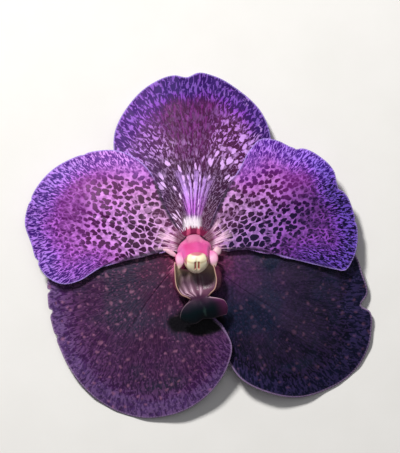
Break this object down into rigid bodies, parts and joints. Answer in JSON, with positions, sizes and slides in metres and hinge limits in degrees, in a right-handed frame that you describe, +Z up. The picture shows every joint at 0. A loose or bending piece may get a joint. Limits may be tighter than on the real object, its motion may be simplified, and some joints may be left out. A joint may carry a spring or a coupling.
{
  "type": "vanda orchid bloom",
  "caption": "Picked vanda orchid bloom lying face up on its sepal tips, with spotted violet petals, dark lower sepals, a cupped lip and a bent flower stalk.",
  "frame": {"origin": "on the surface that the bloom lies on, under the middle of its outline", "axes": "+Z up, out of the bloom's face; +Y towards the dorsal sepal; +X to the right as the face is seen"},
  "size_m": [0.1102, 0.1095, 0.0266],
  "materials": {
    "dorsal_sepal": "satin, lilac with plum spots in rows along the veins",
    "petal": "satin, lilac net over plum spots that turn violet towards the rim",
    "lateral_sepal": "satin, dark aubergine with a faint net of veins",
    "lip": "glossy, near black maroon with cream rims on the cup",
    "column": "waxy pink",
    "anther_cap": "waxy cream",
    "pollinia": "waxy yellow",
    "ovary_stalk": "satin, pale lilac green"
  },
  "bodies": {
    "root": {"dorsal_sepal": "dorsal_sepal", "left_lateral_sepal": "lateral_sepal", "right_lateral_sepal": "lateral_sepal", "left_petal": "petal", "right_petal": "petal", "lip": "lip", "column": "column", "anther_cap": "anther_cap", "pollinia": "pollinia", "ovary_stalk": "ovary_stalk"}
  },
  "joints": []
}
